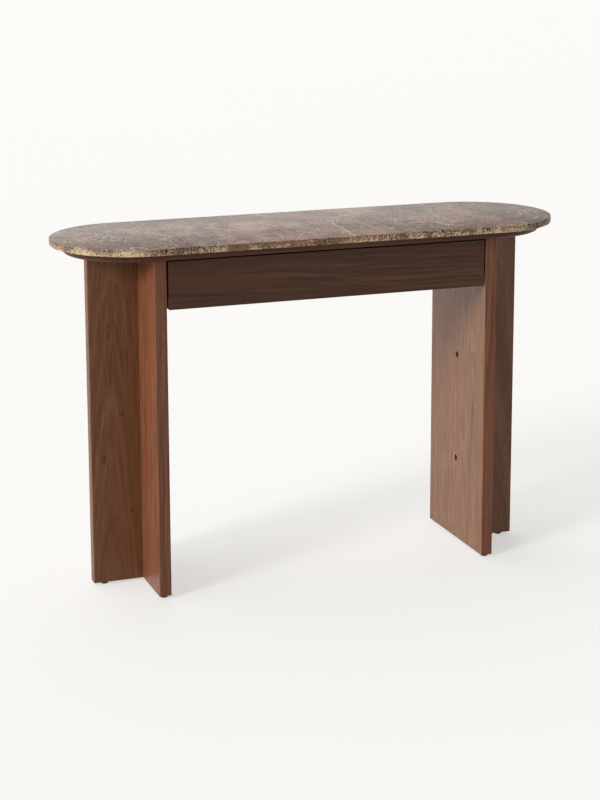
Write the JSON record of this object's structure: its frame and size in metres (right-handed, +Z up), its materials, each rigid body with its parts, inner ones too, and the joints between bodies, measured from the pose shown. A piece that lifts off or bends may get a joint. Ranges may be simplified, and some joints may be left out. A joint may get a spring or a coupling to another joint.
{
  "type": "console table",
  "caption": "Console table: a round-ended marble top on a walnut frame with T-shaped panel legs and a flush handleless drawer on ball-bearing slides.",
  "frame": {"origin": "on the floor below the middle of the top, at the bottom of the foot glides", "axes": "+X along the length, -Y towards the front and the drawer, +Z up"},
  "size_m": [1.1998, 0.375, 0.8],
  "materials": {
    "marble": "honed, with broken edges",
    "walnut": "oiled veneer, satin",
    "drawer_wood": "lacquered veneer, satin",
    "beech": "fluted, raw",
    "silicone": "matt",
    "bronzed_steel": "bronzed, satin",
    "zinc_steel": "zinc plated",
    "slide_steel": "zinc plated, rolled",
    "cage_steel": "stamped",
    "ball_steel": "polished",
    "brass": "turned",
    "brown_plastic": "matt",
    "black_plastic": "matt",
    "buffer_rubber": "matt"
  },
  "bodies": {
    "frame": {"stone_top": "marble", "stone_dots": "silicone", "sub_top": "walnut", "left_cross_panel": "walnut", "right_cross_panel": "walnut", "left_outer_panel": "walnut", "right_outer_panel": "walnut", "rear_apron": "walnut", "leg_bolts": "bronzed_steel", "leg_bolt_washers": "zinc_steel", "leg_bolt_inserts": "brass", "leg_dowels": "beech", "top_dowels": "beech", "apron_dowels": "beech", "cam_locks": "zinc_steel", "cam_pins": "zinc_steel", "cam_covers": "brown_plastic", "foot_glides": "black_plastic", "glide_nails": "zinc_steel", "left_slide_outer": "slide_steel", "right_slide_outer": "slide_steel", "slide_buffers": "buffer_rubber", "slide_frame_screws": "zinc_steel"},
    "drawer": {"drawer_front": "walnut", "drawer_box_front": "drawer_wood", "drawer_left_side": "drawer_wood", "drawer_right_side": "drawer_wood", "drawer_back": "drawer_wood", "drawer_bottom": "drawer_wood", "drawer_dowels": "beech", "drawer_front_screws": "zinc_steel", "left_slide_inner": "slide_steel", "right_slide_inner": "slide_steel", "slide_drawer_screws": "zinc_steel"},
    "left_middle": {"left_slide_middle": "slide_steel"},
    "left_outer_race": {"left_outer_cage": "cage_steel", "left_outer_balls": "ball_steel"},
    "left_inner_race": {"left_inner_cage": "cage_steel", "left_inner_balls": "ball_steel"},
    "right_middle": {"right_slide_middle": "slide_steel"},
    "right_outer_race": {"right_outer_cage": "cage_steel", "right_outer_balls": "ball_steel"},
    "right_inner_race": {"right_inner_cage": "cage_steel", "right_inner_balls": "ball_steel"}
  },
  "joints": [
    {"name": "drawer_slide", "type": "slide", "parent": "frame", "child": "drawer", "axis": [0, -1, 0], "range_m": [0, 0.24]},
    {"name": "left_middle_slide", "type": "slide", "parent": "frame", "child": "left_middle", "axis": [0, -1, 0], "range_m": [0, 0.12]},
    {"name": "left_outer_race_slide", "type": "slide", "parent": "frame", "child": "left_outer_race", "axis": [0, -1, 0], "range_m": [0, 0.06]},
    {"name": "left_inner_race_slide", "type": "slide", "parent": "frame", "child": "left_inner_race", "axis": [0, -1, 0], "range_m": [0, 0.18]},
    {"name": "right_middle_slide", "type": "slide", "parent": "frame", "child": "right_middle", "axis": [0, -1, 0], "range_m": [0, 0.12]},
    {"name": "right_outer_race_slide", "type": "slide", "parent": "frame", "child": "right_outer_race", "axis": [0, -1, 0], "range_m": [0, 0.06]},
    {"name": "right_inner_race_slide", "type": "slide", "parent": "frame", "child": "right_inner_race", "axis": [0, -1, 0], "range_m": [0, 0.18]}
  ],
  "couplings": [
    {"joint": "left_middle_slide", "follows": "drawer_slide", "ratio": 0.5},
    {"joint": "left_outer_race_slide", "follows": "drawer_slide", "ratio": 0.25},
    {"joint": "left_inner_race_slide", "follows": "drawer_slide", "ratio": 0.75},
    {"joint": "right_middle_slide", "follows": "drawer_slide", "ratio": 0.5},
    {"joint": "right_outer_race_slide", "follows": "drawer_slide", "ratio": 0.25},
    {"joint": "right_inner_race_slide", "follows": "drawer_slide", "ratio": 0.75}
  ]
}
